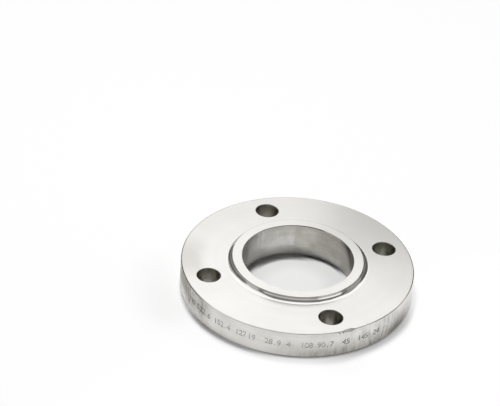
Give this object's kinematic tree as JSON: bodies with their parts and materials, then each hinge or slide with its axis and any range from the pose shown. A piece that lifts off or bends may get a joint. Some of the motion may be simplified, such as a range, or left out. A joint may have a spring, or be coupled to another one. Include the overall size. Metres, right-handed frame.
{
  "type": "pipe flange",
  "caption": "Slip-on pipe flange: a thick round rim with a low hub, a plain bore for the pipe, a circle of bolt holes and a raised sealing face.",
  "frame": {"origin": "centre of the bore in the plane of the raised face, on which the flange lies", "axes": "+Z along the bore's axis, from the raised face towards the hub; the bolt holes straddle X and Y"},
  "size_m": [0.1906, 0.1906, 0.0289],
  "materials": {
    "stainless_steel": "turned all over, satin"
  },
  "bodies": {
    "root": {"flange": "stainless_steel"}
  },
  "joints": []
}
